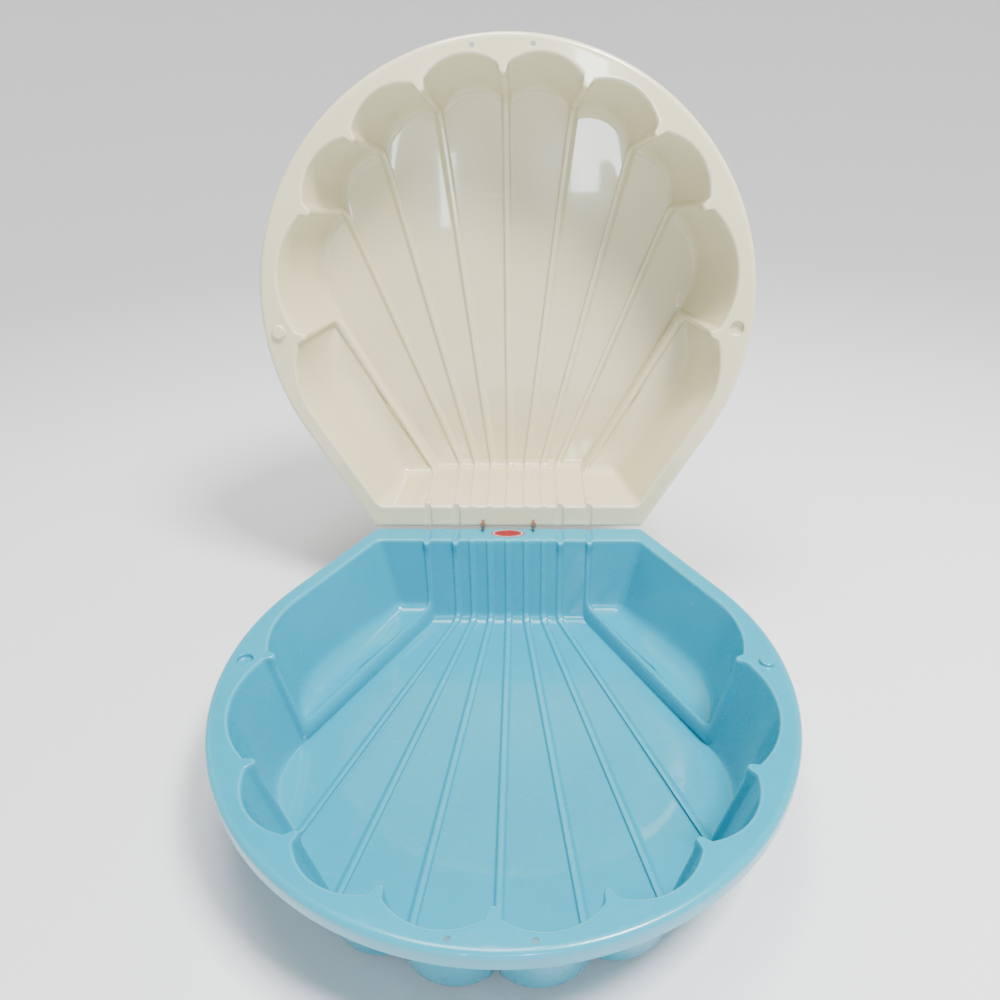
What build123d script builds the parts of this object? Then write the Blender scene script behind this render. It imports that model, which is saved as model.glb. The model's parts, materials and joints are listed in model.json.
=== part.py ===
from build123d import *
import math
import os

# A scallop-shell sandbox: two equal thin-walled mouldings tied together along
# their straight rear edges. The base lies on the ground and the cover stands
# open behind it. The origin is on the ground, below the centre of the round
# front of the rim. +Y points back to the hinge edge and +Z points up.

# Overall form of one moulding, in millimetres
RIM_R = 440.0           # radius of the round front of the rim
HINGE_BACK = 420.0      # from the centre of the round front back to the hinge edge
FLANK_TURN = 30.0       # degrees past the widest point where the straight flanks begin
HEIGHT = 190.0          # from the ground to the face of the flange
WALL = 3.0              # thickness of the moulding
HINGE_CORNER_R = 10.0   # corner of the rim at each end of the hinge edge

# Rim and flange
RIM_DEPTH = 25.0        # the skirt hangs this far below the flange face
RIM_ROLL = 8.0          # outside radius of the rolled rim edge
REAR_FLANGE = 46.0      # width of the flange along the hinge edge
FLANK_FLANGE = 31.0     # width of the flange along the straight flanks
FLANK_RUN = 220.0       # straight length of the basin's edge along a flank
BASIN_CORNER_R = 20.0   # rear corners of the basin

# Scallops of one half, from the front centre round to the side
CUSP_ANGLES = (0.0, 20.0, 40.5, 62.0, 95.5)     # degrees from straight ahead
CUSP_FLANGES = (50.0, 50.0, 52.0, 53.0, 63.0)   # flange width at each cusp
LOBE_FLANGES = (25.0, 26.0, 28.0, 30.0)         # flange width at each lobe's middle

# Basin
DRAFT = 38.0            # the scalloped wall leans in by this much at the floor
REAR_DRAFT = 12.0       # the rear wall leans in by this much at the floor
FOOT = 9.0              # bevel where wall meets floor
BENCH_HEIGHT = 28.0     # the side benches stand this far above the floor

# Ribs
RIB_R = 7.5             # radius of a rib's round crest
RIB_SINK = 2.0          # the rib's axis lies this far behind the surface
REAR_RIB_R = 5.5        # radius of the five inner ribs on the rear wall
BENCH_RIB_PROUD = 1.5   # a bench's rib stands this far out over the step to the floor
RIB_SHARES = (0.0, 0.14, 0.275, 0.40, 0.62)     # rib ends along half the rear edge
CHANNEL_R = 8.0         # radius of the channels across the rear flange
CHANNEL_DEPTH = 2.5

# Peg and socket that meet when the cover is shut
PEG_R = 12.0
PEG_HEIGHT = 7.0
PEG_GAP = 1.0           # clearance round the peg and past its end
PEG_FLANGE = 29.0       # from the rim's edge in to the peg's centre
PEG_ANGLE = 93.5        # degrees from straight ahead

# Moulding gate under the middle of the floor, a flat pad across the centre rib's groove
GATE_PAD_R = 14.0

# Holes in the front flange
FRONT_HOLE_R = 4.0
FRONT_HOLE_SPACING = 96.0
FRONT_HOLE_FLANGE = 15.3

# Hinge ties: rings of cord round the hinge line
FLANGE_GAP = 0.6        # between the two flange faces when shut
OPEN_ANGLE = 95.3       # the cover stands at this angle from shut
TIE_RING_R = 14.0
TIE_CORD_R = 2.6
TIE_HOLE_GAP = 0.7      # clearance of the cord in its hole
TIE_RIM_GAP = 1.5       # clearance of the ring round the rim
TIE_SPACING = 100.0
KNOT_R = 4.2
KNOT_ANGLE = -30.0      # degrees from straight back, on the ring

# Badge on the rear flange of the base
BADGE_LENGTH = 66.0
BADGE_WIDTH = 27.0
BADGE_THICKNESS = 0.3
BADGE_BACK = 22.0       # from the hinge edge to the badge's centre

# Worked out from the above
FLOOR_TOP = WALL
DEPTH = HEIGHT - FLOOR_TOP
TURN_SIN = math.sin(math.radians(FLANK_TURN))
TURN_COS = math.cos(math.radians(FLANK_TURN))
HINGE_Z = HEIGHT + FLANGE_GAP / 2
HINGE_SKIRT = math.sqrt((TIE_RING_R - TIE_CORD_R - TIE_RIM_GAP) ** 2 - WALL ** 2)
TIE_HOLE_R = TIE_CORD_R + TIE_HOLE_GAP
TIE_HOLE_BACK = math.sqrt(TIE_RING_R ** 2 - (WALL / 2 + FLANGE_GAP / 2) ** 2)
OVERCUT = 2.0           # how far cutting tools run past a face


def flank_x(reach, y):
    """X of a flank's line at y, where reach is the line's distance from the origin."""
    return (reach - y * TURN_SIN) / TURN_COS


def rim_face(inset, z):
    """Outline of the moulding, moved in by inset, as a face at height z."""
    radius = RIM_R - inset
    back = HINGE_BACK - inset
    corner = flank_x(radius, back)
    touch_x = radius * TURN_COS
    touch_y = radius * TURN_SIN
    sides = Polyline((-touch_x, touch_y), (-corner, back), (corner, back), (touch_x, touch_y))
    front = ThreePointArc((touch_x, touch_y), (0, -radius), (-touch_x, touch_y))
    face = make_face([*sides.edges(), front.edge()])
    corners = face.vertices().sort_by(Axis.Y)[-2:]
    return Pos(0, 0, z) * fillet(corners, HINGE_CORNER_R - inset)


def cusp_point(index, inset):
    """Tip of a cusp on the right half, moved in by inset."""
    angle = math.radians(CUSP_ANGLES[index])
    radius = RIM_R - CUSP_FLANGES[index] - inset
    return (radius * math.sin(angle), -radius * math.cos(angle))


def lobe_point(index, inset):
    """Middle of the lobe after a cusp on the right half, moved in by inset."""
    angle = math.radians((CUSP_ANGLES[index] + CUSP_ANGLES[index + 1]) / 2)
    radius = RIM_R - LOBE_FLANGES[index] - inset
    return (radius * math.sin(angle), -radius * math.cos(angle))


def rear_line(rear_inset):
    """Y of the basin's rear wall, moved in by rear_inset."""
    return HINGE_BACK - REAR_FLANGE - rear_inset


def basin_wire(inset, rear_inset, z):
    """Scalloped outline of the basin, moved in by the insets, at height z."""
    back = rear_line(rear_inset)
    corner_x = flank_x(RIM_R - FLANK_FLANGE - inset, back)
    cut = BASIN_CORNER_R * math.tan(math.radians((90 - FLANK_TURN) / 2))
    middle = math.radians((90 + FLANK_TURN) / 2)
    round_x = corner_x - cut
    round_y = back - BASIN_CORNER_R
    arc_middle = (
        round_x + BASIN_CORNER_R * math.cos(middle),
        round_y + BASIN_CORNER_R * math.sin(middle),
    )
    along = (TURN_SIN, -TURN_COS)
    arc_end = (corner_x + cut * along[0], back + cut * along[1])
    flank_end = (corner_x + FLANK_RUN * along[0], back + FLANK_RUN * along[1])
    last = len(CUSP_ANGLES) - 1
    right = [
        ThreePointArc((round_x, back), arc_middle, arc_end),
        Line(arc_end, flank_end),
        TangentArc(flank_end, cusp_point(last, inset), tangent=along),
    ]
    for index in range(last, 0, -1):
        start = cusp_point(index, inset)
        middle_point = lobe_point(index - 1, inset)
        right.append(ThreePointArc(start, middle_point, cusp_point(index - 1, inset)))
    edges = [curve.edge() for curve in right]
    edges += [edge.mirror(Plane.YZ) for edge in reversed(edges)]
    edges.append(Line((-round_x, back), (round_x, back)).edge())
    return Wire(edges).moved(Location((0, 0, z)))


def wall_inset(z):
    """How far the scalloped wall has leaned in at height z."""
    return DRAFT * (HEIGHT - z) / DEPTH


def rear_wall_inset(z):
    """How far the rear wall has leaned in at height z."""
    return REAR_DRAFT * (HEIGHT - z) / DEPTH


def bar(start, end, radius):
    """Round bar between two points, run on past both by twice its radius."""
    a = Vector(*start)
    b = Vector(*end)
    way = (b - a).normalized()
    length = (b - a).length + 4 * radius
    return Solid.make_cylinder(radius, length, Plane(a - way * 2 * radius, z_dir=way))


def rear_ends():
    """X of each rib's end on the rear wall, from the middle to the right."""
    half = flank_x(RIM_R - FLANK_FLANGE, rear_line(0))
    return [share * half for share in RIB_SHARES]


def rib_feet(index):
    """Where a rib of the right half meets the scalloped wall's foot and the rear wall's foot."""
    foot = cusp_point(index, DRAFT)
    return foot, (rear_ends()[index], rear_line(REAR_DRAFT))


def rib_bars(index, side, grow):
    """The bars of one rib: down the wall, across the floor and up the rear wall."""
    last = len(CUSP_ANGLES) - 1
    foot, rear = rib_feet(index)
    tip = cusp_point(index, 0)
    tip_len = math.hypot(*tip)
    out = (side * tip[0] / tip_len * RIB_SINK, tip[1] / tip_len * RIB_SINK)
    top = (side * tip[0] + out[0], tip[1] + out[1], HEIGHT)
    low = (side * foot[0] + out[0], foot[1] + out[1], FLOOR_TOP)
    level = FLOOR_TOP - RIB_SINK
    shift = (0.0, 0.0)
    if index == last:
        level += BENCH_HEIGHT
        run = Vector(foot[0] - rear[0], foot[1] - rear[1]).normalized()
        aside = RIB_R - BENCH_RIB_PROUD
        shift = (-run.Y * aside, run.X * aside)
    front_end = (side * (foot[0] + shift[0]), foot[1] + shift[1], level)
    rear_end = (side * (rear[0] + shift[0]), rear[1] + shift[1], level)
    rear_r = RIB_R if index >= last - 1 else REAR_RIB_R
    rear_low = (side * rear[0], rear_line(REAR_DRAFT) + RIB_SINK, FLOOR_TOP)
    rear_top = (side * rear[0], rear_line(0) + RIB_SINK, HEIGHT)
    return [
        bar(low, top, RIB_R - grow),
        bar(front_end, rear_end, RIB_R - grow),
        bar(rear_low, rear_top, rear_r - grow),
    ]


def bench_block(side, grow):
    """Block under a side bench, between the bench's edge and the flank."""
    foot, rear = rib_feet(len(CUSP_ANGLES) - 1)
    run = Vector(foot[0] - rear[0], foot[1] - rear[1]).normalized()
    out = Vector(-run.Y, run.X)
    past = RIB_R - WALL
    wide = RIM_R
    near_foot = Vector(*foot) + run * past + out * grow
    near_rear = Vector(*rear) - run * REAR_FLANGE + out * grow
    points = [near_foot, near_foot + Vector(wide, 0), near_rear + Vector(wide, 0), near_rear]
    face = make_face(Polyline(*[(side * p.X, p.Y) for p in points], close=True).edges())
    return extrude(Pos(0, 0, -OVERCUT) * face, OVERCUT + FLOOR_TOP + BENCH_HEIGHT - grow, dir=(0, 0, 1))


def bowl(grow, top):
    """Solid of the basin's hollow, grown by grow on every wall, up to height top."""
    bottom = FLOOR_TOP - grow
    bend = FLOOR_TOP + FOOT
    levels = ((bottom, FOOT), (bend, 0.0), (top, 0.0))
    wires = [
        basin_wire(wall_inset(z) + more - grow, rear_wall_inset(z) + more - grow, z)
        for z, more in levels
    ]
    form = Solid.make_loft(wires, ruled=True)
    tools = []
    for index in range(len(CUSP_ANGLES)):
        for side in (1, -1) if index else (1,):
            tools += rib_bars(index, side, grow)
    tools += [bench_block(side, grow) for side in (1, -1)]
    return form.cut(*[tool for part in tools for tool in part.solids()])


def rim():
    """Flange plate with its rolled edge and skirt, before the basin is cut."""
    bottom = HEIGHT - RIM_DEPTH
    full = extrude(rim_face(0, bottom), RIM_DEPTH, dir=(0, 0, 1))
    full = fillet(full.faces().sort_by(Axis.Z)[-1].edges(), RIM_ROLL)
    hollow = extrude(rim_face(WALL, bottom - OVERCUT), RIM_DEPTH + OVERCUT - WALL, dir=(0, 0, 1))
    hollow = fillet(hollow.faces().sort_by(Axis.Z)[-1].edges(), RIM_ROLL - WALL)
    half = flank_x(RIM_R, HINGE_BACK) + OVERCUT
    low = HEIGHT - HINGE_SKIRT
    trim = Pos(0, HINGE_BACK, low) * Box(
        2 * half, 2 * (WALL + OVERCUT), 2 * RIM_DEPTH, align=(Align.CENTER, Align.CENTER, Align.MAX)
    )
    return full, full - hollow - trim


def channel_bars(grow):
    """Round bars that shape the channels across the rear flange."""
    z = HEIGHT + CHANNEL_R - CHANNEL_DEPTH
    bars = []
    for x in rear_ends()[-2:]:
        for side in (1, -1):
            start = (side * x, HINGE_BACK, z)
            end = (side * x, rear_line(0), z)
            bars.append(bar(start, end, CHANNEL_R + grow))
    return bars


def column(x, y, low, high, radius):
    """Upright cylinder from low to high."""
    return Pos(x, y, low) * Cylinder(radius, high - low, align=(Align.CENTER, Align.CENTER, Align.MIN))


def moulding():
    """One scallop-shell moulding, lying open side up with its floor on the ground."""
    full_rim, shell = rim()
    for thick in channel_bars(WALL):
        shell += thick & full_rim
    shell += bowl(WALL, HEIGHT - WALL / 2)
    shell += column(0, 0, 0, FLOOR_TOP + RIB_R, GATE_PAD_R)
    angle = math.radians(PEG_ANGLE)
    peg_x = (RIM_R - PEG_FLANGE) * math.sin(angle)
    peg_y = -(RIM_R - PEG_FLANGE) * math.cos(angle)
    socket_r = PEG_R + PEG_GAP
    socket_low = HEIGHT - PEG_HEIGHT - PEG_GAP
    shell += column(-peg_x, peg_y, socket_low - WALL, HEIGHT, socket_r + WALL)
    shell += column(peg_x, peg_y, HEIGHT - WALL, HEIGHT + PEG_HEIGHT, PEG_R)
    shell -= bowl(0, HEIGHT + OVERCUT)
    shell -= column(-peg_x, peg_y, socket_low, HEIGHT + OVERCUT, socket_r)
    shell -= column(peg_x, peg_y, HEIGHT - WALL - OVERCUT, HEIGHT + PEG_HEIGHT - WALL, PEG_R - WALL)
    for tool in channel_bars(0):
        shell -= tool
    hole_x = FRONT_HOLE_SPACING / 2
    hole_y = -math.sqrt((RIM_R - FRONT_HOLE_FLANGE) ** 2 - hole_x ** 2)
    for side in (1, -1):
        low = HEIGHT - WALL - OVERCUT
        shell -= column(side * hole_x, hole_y, low, HEIGHT + OVERCUT, FRONT_HOLE_R)
        tie_x = side * TIE_SPACING / 2
        shell -= column(tie_x, HINGE_BACK - TIE_HOLE_BACK, low, HEIGHT + OVERCUT, TIE_HOLE_R)
    return shell


def stand_open(part):
    """Turn a moulding over onto the base and open it about the hinge line."""
    shut = Rot(0, 180, 0) * Pos(0, 0, -HINGE_Z) * part
    opened = Rot(-OPEN_ANGLE, 0, 0) * Pos(0, -HINGE_BACK, 0) * shut
    return Pos(0, HINGE_BACK, HINGE_Z) * opened


def hinge_tie(side):
    """Ring of cord through both rear flanges, with its knot behind."""
    ring = Rot(0, 90, 0) * Torus(TIE_RING_R, TIE_CORD_R)
    angle = math.radians(KNOT_ANGLE)
    reach = TIE_RING_R + KNOT_R - TIE_CORD_R - TIE_HOLE_GAP / 2
    knot = Pos(0, reach * math.cos(angle), reach * math.sin(angle)) * Sphere(KNOT_R)
    return Pos(side * TIE_SPACING / 2, HINGE_BACK, HINGE_Z) * (ring + knot)


def badge():
    """Flat oval label on the base's rear flange."""
    oval = Ellipse(BADGE_LENGTH / 2, BADGE_WIDTH / 2)
    return extrude(Pos(0, HINGE_BACK - BADGE_BACK, HEIGHT) * oval, BADGE_THICKNESS, dir=(0, 0, 1))


os.makedirs("parts", exist_ok=True)
base = moulding()
nodes = {
    "base_shell": base,
    "cover_shell": stand_open(base),
    "hinge_tie_left": hinge_tie(-1),
    "hinge_tie_right": hinge_tie(1),
    "badge": badge(),
}
for name, part in nodes.items():
    export_step(part, f"parts/{name}.step")
    print(name, len(part.solids()), round(part.volume))
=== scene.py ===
import json
import logging
import math
from collections.abc import Callable
from dataclasses import dataclass, field
from enum import Enum

import bmesh
import bpy
import numpy as np
from mathutils import Matrix, Vector


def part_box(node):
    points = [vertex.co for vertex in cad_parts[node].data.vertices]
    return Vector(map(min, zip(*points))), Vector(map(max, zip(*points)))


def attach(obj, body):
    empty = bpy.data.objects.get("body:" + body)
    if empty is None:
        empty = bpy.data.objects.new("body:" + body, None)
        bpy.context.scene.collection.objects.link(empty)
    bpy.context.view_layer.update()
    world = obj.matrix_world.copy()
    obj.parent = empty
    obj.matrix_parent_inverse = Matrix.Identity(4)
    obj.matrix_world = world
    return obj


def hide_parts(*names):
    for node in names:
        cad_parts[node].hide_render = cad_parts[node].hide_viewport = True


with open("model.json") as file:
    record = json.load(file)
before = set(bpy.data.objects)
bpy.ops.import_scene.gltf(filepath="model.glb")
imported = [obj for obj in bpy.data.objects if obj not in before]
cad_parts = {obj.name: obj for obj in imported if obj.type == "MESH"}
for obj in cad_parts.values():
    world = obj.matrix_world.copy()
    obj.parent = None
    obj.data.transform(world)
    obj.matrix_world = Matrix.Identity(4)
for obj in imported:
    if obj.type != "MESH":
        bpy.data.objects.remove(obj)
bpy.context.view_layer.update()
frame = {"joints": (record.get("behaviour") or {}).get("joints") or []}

# A scallop-shell sandbox: an aqua base on the ground and an ivory cover standing open
# behind it, tied together with two rings of twine. Sizes are in millimetres and turn
# into metres when a mesh is made. X runs to the right, Y back to the hinge edge, Z up.

MM = 0.001
WELD = 2e-6
Array = np.ndarray
log = logging.getLogger("sandbox")


# ---------------------------------------------------------------- shapes on grids


def smooth(low: float, high: float, value: Array) -> Array:
    """Soft step: 3t² - 2t³, where t is the share of the way from low to high, held to 0 and 1."""
    share = np.clip((value - low) / (high - low), 0.0, 1.0)
    return share * share * (3.0 - 2.0 * share)


def unit(vectors: Array) -> Array:
    """Each vector divided by its own length."""
    return vectors / np.linalg.norm(vectors, axis=-1, keepdims=True)


def shares(count: int) -> Array:
    """The shares 1/count, 2/count ... 1 of a stretch, which leave out its start."""
    return np.arange(1, count + 1) / count


def straight(start: Array, end: Array, along: Array) -> Array:
    """Straight runs, by column and share of the way along: start + share · (end - start)."""
    return start[:, None, :] + along[None, :, None] * (end - start)[:, None, :]


def rounded(start: Array, corner: Array, end: Array, weight: float, along: Array) -> Array:
    """Rounded corners, each a conic through start and end that leans towards its corner.

    The point at share t is the mean of start, corner and end with the weights
    (1 - t)², 2 · weight · t(1 - t) and t².

    Args:
        start: first points, one per column.
        corner: sharp corners that are rounded off.
        end: last points, one per column.
        weight: how far the curve is drawn to the corner; the cosine of half the turn is a circle.
        along: shares of the way.

    Returns:
        Points, by column and share.
    """
    first = (1.0 - along) ** 2
    middle = 2.0 * weight * along * (1.0 - along)
    last = along**2
    parts = ((start, first), (corner, middle), (end, last))
    total = sum(point[:, None, :] * part[None, :, None] for point, part in parts)
    return total / (first + middle + last)[None, :, None]


def arc_through(start: Array, middle: Array, end: Array, along: Array) -> tuple[Array, Array]:
    """Circular arc from start through middle to end, at even steps of angle.

    The centre is where the two chords' upright bisectors meet.

    Args:
        start: first point.
        middle: a point on the arc.
        end: last point.
        along: shares of the arc.

    Returns:
        The points, and the directions from the centre to them.
    """
    chords = np.array([middle - start, end - middle])
    halfway = np.array([middle + start, end + middle]) / 2.0
    centre = np.linalg.solve(chords, (chords * halfway).sum(axis=1))
    angles = [math.atan2(*(point - centre)[::-1]) for point in (start, middle, end)]
    turn = sum(math.remainder(b - a, math.tau) for a, b in zip(angles, angles[1:]))
    angle = angles[0] + turn * along
    out = np.stack([np.cos(angle), np.sin(angle)], axis=-1)
    return centre + np.linalg.norm(start - centre) * out, out


def cell_faces(columns: int, rows: int, kept: Array, wrap: bool) -> Array:
    """Four-cornered faces between the points of a grid.

    The point in column c and row r has the number c · rows + r.

    Args:
        columns: number of columns of points.
        rows: number of rows of points.
        kept: which cells become faces, by column and row.
        wrap: whether the last column joins the first.

    Returns:
        Four point numbers for each kept cell.
    """
    number = np.arange(columns * rows).reshape(columns, rows)
    if wrap:
        number = np.concatenate([number, number[:1]])
    cells = (number[:-1, :-1], number[1:, :-1], number[1:, 1:], number[:-1, 1:])
    return np.stack(cells, axis=-1)[kept]


@dataclass
class Surface:
    """Grids of points that become one mesh, in millimetres."""

    points: list[Array] = field(default_factory=list)
    faces: list[Array] = field(default_factory=list)
    values: list[Array] = field(default_factory=list)
    count: int = 0

    def add(
        self,
        grid: Array,
        kept: Array | None = None,
        wrap: bool = False,
        value: Array | None = None,
    ) -> None:
        """Take in a grid of points.

        Args:
            grid: points by column and row.
            kept: which cells become faces; all of them if left out.
            wrap: whether the last column joins the first.
            value: a number for each point, kept as the attribute "wear".
        """
        columns, rows = grid.shape[:2]
        if kept is None:
            kept = np.ones((columns - (0 if wrap else 1), rows - 1), bool)
        self.faces.append(cell_faces(columns, rows, kept, wrap) + self.count)
        self.points.append(grid.reshape(-1, 3))
        self.values.append(np.zeros(columns * rows) if value is None else value.reshape(-1))
        self.count += columns * rows

    def mesh(self, name: str, up: Vector | None = None) -> bpy.types.Mesh:
        """Weld the grids into one mesh in metres, with its faces turned the same way.

        Args:
            name: the mesh's name.
            up: for an open sheet, the way that its highest face looks.

        Returns:
            The mesh.
        """
        mesh = bpy.data.meshes.new(name)
        points = np.concatenate(self.points) * MM
        mesh.from_pydata(points.tolist(), [], np.concatenate(self.faces).tolist())
        wear = mesh.attributes.new("wear", "FLOAT", "POINT")
        wear.data.foreach_set("value", np.concatenate(self.values).astype(np.float32))
        work = bmesh.new()
        work.from_mesh(mesh)
        bmesh.ops.remove_doubles(work, verts=work.verts, dist=WELD)
        bmesh.ops.recalc_face_normals(work, faces=work.faces)
        if up is not None:
            highest = max(work.faces, key=lambda face: face.calc_center_median().dot(up))
            if highest.normal.dot(up) < 0:
                bmesh.ops.reverse_faces(work, faces=work.faces)
        work.to_mesh(mesh)
        work.free()
        return mesh


def soften(mesh: bpy.types.Mesh, crease: float) -> None:
    """Shade a mesh smooth; edges that turn by more than crease degrees stay crisp."""
    mesh.shade_smooth()
    mesh.set_sharp_from_angle(angle=math.radians(crease))


def lay_uv(mesh: bpy.types.Mesh, name: str, flatten: Callable[[Array], Array]) -> None:
    """Lay a UV map on a mesh.

    Args:
        mesh: the mesh.
        name: the map's name.
        flatten: gives u and v for points in millimetres.
    """
    points = np.empty(len(mesh.vertices) * 3, np.float32)
    mesh.vertices.foreach_get("co", points)
    corner = np.empty(len(mesh.loops), np.int32)
    mesh.loops.foreach_get("vertex_index", corner)
    uv = flatten(points.reshape(-1, 3) / MM)[corner]
    mesh.uv_layers.new(name=name).data.foreach_set("uv", uv.reshape(-1).astype(np.float32))


def make_piece(
    name: str,
    mesh: bpy.types.Mesh,
    finish: "Finish",
    body: str,
    crease: float,
) -> bpy.types.Object:
    """Show a mesh as a piece that moves with a body.

    Args:
        name: the piece's name.
        mesh: its shape, in place.
        finish: its material.
        body: the body that it moves with.
        crease: edges that turn by more than this many degrees stay crisp.

    Returns:
        The new object.
    """
    piece = bpy.data.objects.new(name, mesh)
    bpy.context.scene.collection.objects.link(piece)
    soften(mesh, crease)
    mesh.materials.clear()
    mesh.materials.append(finish.material())
    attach(piece, body)
    log.info("%s: %d faces, rides on %s", name, len(mesh.polygons), body)
    return piece


# ---------------------------------------------------------------- finishes


def arithmetic(operation: str, swapped: bool = False) -> Callable[["Socket", "Value"], "Socket"]:
    """Arithmetic method of a Socket.

    Args:
        operation: what the Math node does.
        swapped: whether the other number comes first.

    Returns:
        A method that adds the Math node.
    """

    def method(self: "Socket", other: "Value") -> "Socket":
        """The operation on this socket and the other number."""
        first, second = (other, self) if swapped else (self, other)
        return self.graph.node("ShaderNodeMath", {"operation": operation}, {0: first, 1: second})

    return method


class Socket:
    """An output of a shader node; arithmetic on numbers adds Math nodes."""

    def __init__(self, graph: "Graph", output: bpy.types.NodeSocket) -> None:
        """Wrap an output of one of the graph's nodes."""
        self.graph = graph
        self.output = output

    __add__ = __radd__ = arithmetic("ADD")
    __mul__ = __rmul__ = arithmetic("MULTIPLY")
    __sub__ = arithmetic("SUBTRACT")
    __rsub__ = arithmetic("SUBTRACT", swapped=True)

    def step(self, low: float, high: float) -> "Socket":
        """Soft step from 0 at low to 1 at high."""
        ends = {"From Min": low, "From Max": high}
        settings = {"interpolation_type": "SMOOTHSTEP"}
        return self.graph.node("ShaderNodeMapRange", settings, {"Value": self, **ends})


Value = Socket | float | tuple


class Graph:
    """The shader nodes of one material."""

    def __init__(self, name: str) -> None:
        """Start a material with its output node only."""
        self.material = bpy.data.materials.new(name)
        self.material.use_nodes = True
        self.tree = self.material.node_tree
        self.tree.nodes.clear()

    def node(self, kind: str, settings: dict, inputs: dict, output: str | int = 0) -> Socket:
        """Add a node.

        Args:
            kind: the node's type.
            settings: its options, set first.
            inputs: a number, colour, vector or Socket for each named or numbered input.
            output: the output that is wanted.

        Returns:
            That output.
        """
        made = self.tree.nodes.new(kind)
        for name, value in settings.items():
            setattr(made, name, value)
        for name, value in inputs.items():
            if isinstance(value, Socket):
                self.tree.links.new(value.output, made.inputs[name])
            else:
                made.inputs[name].default_value = value
        return Socket(self, made.outputs[output])

    def place(self) -> Socket:
        """Place on the object, in metres."""
        return self.node("ShaderNodeTexCoord", {}, {}, "Object")

    def noise(self, place: Socket, scale: float, detail: float = 2.0) -> Socket:
        """Cloudy noise from 0 to 1, about 0.5, with features 1/scale metres across."""
        inputs = {"Vector": place, "Scale": scale, "Detail": detail, "Roughness": 0.55}
        return self.node("ShaderNodeTexNoise", {}, inputs)

    def stretched(self, place: Socket, turn: float, scale: tuple) -> Socket:
        """Place turned about Z by some degrees and scaled along each axis."""
        inputs = {"Vector": place, "Rotation": (0.3, 0.2, math.radians(turn)), "Scale": scale}
        return self.node("ShaderNodeMapping", {}, inputs)

    def mix(self, share: Value, first: Value, second: Value) -> Socket:
        """Colour between first and second."""
        inputs = {0: share, 6: first, 7: second}
        return self.node("ShaderNodeMix", {"data_type": "RGBA"}, inputs, 2)

    def finish(self, inputs: dict) -> bpy.types.Material:
        """Close the material with a Principled shader that has these inputs."""
        shader = self.node("ShaderNodeBsdfPrincipled", {}, inputs)
        end = self.tree.nodes.new("ShaderNodeOutputMaterial")
        self.tree.links.new(shader.output, end.inputs["Surface"])
        return self.material


@dataclass(frozen=True)
class Finish:
    """What every finish has: its name, and the record's slot that it stands for, which is not used."""

    name: str
    slot: str

    def material(self) -> bpy.types.Material:
        """The material, made on first use."""
        return bpy.data.materials.get(self.name) or self.build()

    def build(self) -> bpy.types.Material:
        """Make the material; each kind of finish has its own way."""
        raise NotImplementedError


@dataclass(frozen=True)
class MouldedPlastic(Finish):
    """Glossy moulded polyethylene, a little cloudy, with fine scuffs and paler worn edges."""

    colour: tuple
    deep: tuple
    worn: tuple
    dust: tuple
    gloss: float
    coat: float

    def build(self) -> bpy.types.Material:
        """Colour clouds, scuffs in the gloss, thin dust and a slightly wavy sheet."""
        graph = Graph(self.name)
        place = graph.place()
        cloud = graph.noise(place, 5.0, 3.0).step(0.35, 0.7)
        blotch = graph.noise(place, 38.0, 4.0).step(0.45, 0.8)
        wear = graph.node("ShaderNodeAttribute", {"attribute_name": "wear"}, {}, "Fac")
        grain = graph.noise(place, 520.0, 2.0)
        colour = graph.mix(cloud * 0.35, self.colour, self.deep)
        colour = graph.mix(wear * (0.12 + grain * 0.16), colour, self.worn)
        speck = graph.noise(place, 900.0, 1.0).step(0.66, 0.74) * blotch
        colour = graph.mix(speck * 0.12 + blotch * 0.015, colour, self.dust)
        scuffs = self.scuffs(graph, place, 24.0) + self.scuffs(graph, place, -51.0)
        rough = self.gloss + cloud * 0.05 + blotch * 0.06 + scuffs * 0.16 + wear * 0.05
        waves = graph.noise(place, 9.0, 1.0)
        peel = graph.noise(place, 240.0, 2.0)
        height = waves * 0.0016 + peel * 0.00003 - scuffs * 0.00003
        inputs = {"Height": height, "Strength": 0.55, "Distance": 1.0}
        normal = graph.node("ShaderNodeBump", {}, inputs)
        return graph.finish(
            {
                "Base Color": colour,
                "Roughness": rough,
                "Normal": normal,
                "IOR": 1.5,
                "Coat Weight": self.coat,
                "Coat Roughness": 0.04,
            }
        )

    def scuffs(self, graph: Graph, place: Socket, turn: float) -> Socket:
        """Sparse fine scratches that run about one way."""
        lines = graph.noise(graph.stretched(place, turn, (6.0, 420.0, 90.0)), 1.0, 2.0)
        patches = graph.noise(graph.stretched(place, turn, (7.0, 7.0, 7.0)), 1.0, 1.0)
        return lines.step(0.66, 0.74) * patches.step(0.5, 0.68)


@dataclass(frozen=True)
class PrintedVinyl(Finish):
    """Printed oval label: a red field with a pale line round it."""

    field: tuple = (0.27, 0.003, 0.014, 1.0)
    deep: tuple = (0.20, 0.003, 0.012, 1.0)
    line: tuple = (0.62, 0.40, 0.38, 1.0)

    def build(self) -> bpy.types.Material:
        """The UV map's distance from its middle is 1 at the label's edge."""
        graph = Graph(self.name)
        place = graph.node("ShaderNodeUVMap", {"uv_map": "oval"}, {})
        reach = graph.node("ShaderNodeVectorMath", {"operation": "LENGTH"}, {0: place}, "Value")
        band = reach.step(0.80, 0.83) * (1.0 - reach.step(0.90, 0.93))
        ink = graph.noise(graph.place(), 300.0, 3.0)
        base = graph.mix(ink * 0.6, self.field, self.deep)
        colour = graph.mix(band, base, self.line)
        bump = graph.node("ShaderNodeBump", {}, {"Height": ink, "Strength": 0.1, "Distance": 0.0002})
        return graph.finish({"Base Color": colour, "Roughness": 0.22 + ink * 0.12, "Normal": bump})


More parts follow.
